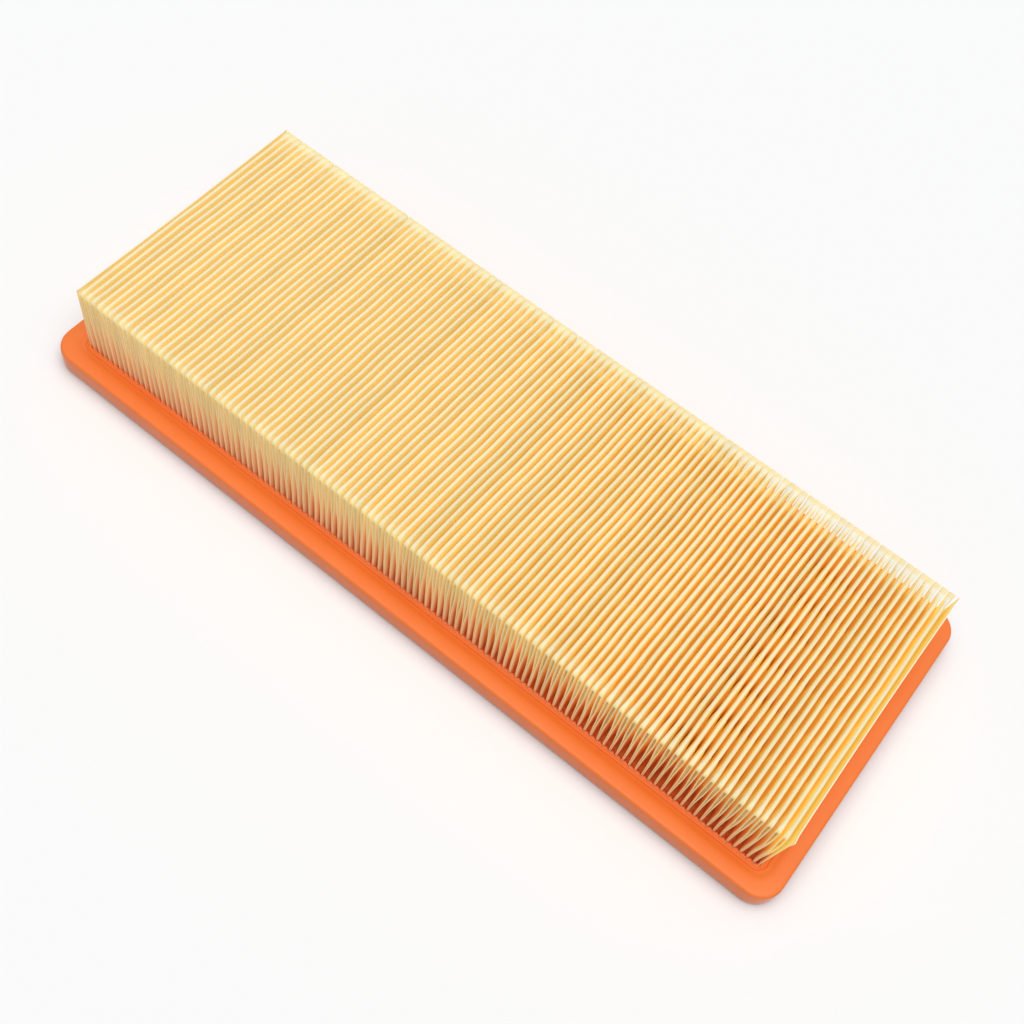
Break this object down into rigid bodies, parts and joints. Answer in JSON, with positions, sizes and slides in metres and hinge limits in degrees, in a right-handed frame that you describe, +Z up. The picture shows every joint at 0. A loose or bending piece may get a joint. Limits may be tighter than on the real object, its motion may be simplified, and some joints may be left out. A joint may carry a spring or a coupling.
{
  "type": "air filter",
  "caption": "Rectangular panel air filter: a tall pack of pleated yellow paper with pinched, glued ridge ends, its foot set in an orange moulded polyurethane sealing frame.",
  "frame": {"origin": "centre of the frame's underside, where the filter lies on a table", "axes": "+X along the filter's length, +Y along the pleat folds to the rear long side, +Z up from the frame to the ridges"},
  "size_m": [0.28, 0.115, 0.035],
  "materials": {
    "polyurethane": "orange moulded polyurethane, satin skin",
    "filter_paper": "resin-stiffened cream-yellow filter paper, matt",
    "hot_melt": "pale amber hot-melt glue"
  },
  "bodies": {
    "root": {"seal_frame": "polyurethane", "pleated_media": "filter_paper", "edge_seal_front": "hot_melt", "edge_seal_rear": "hot_melt"}
  },
  "joints": []
}
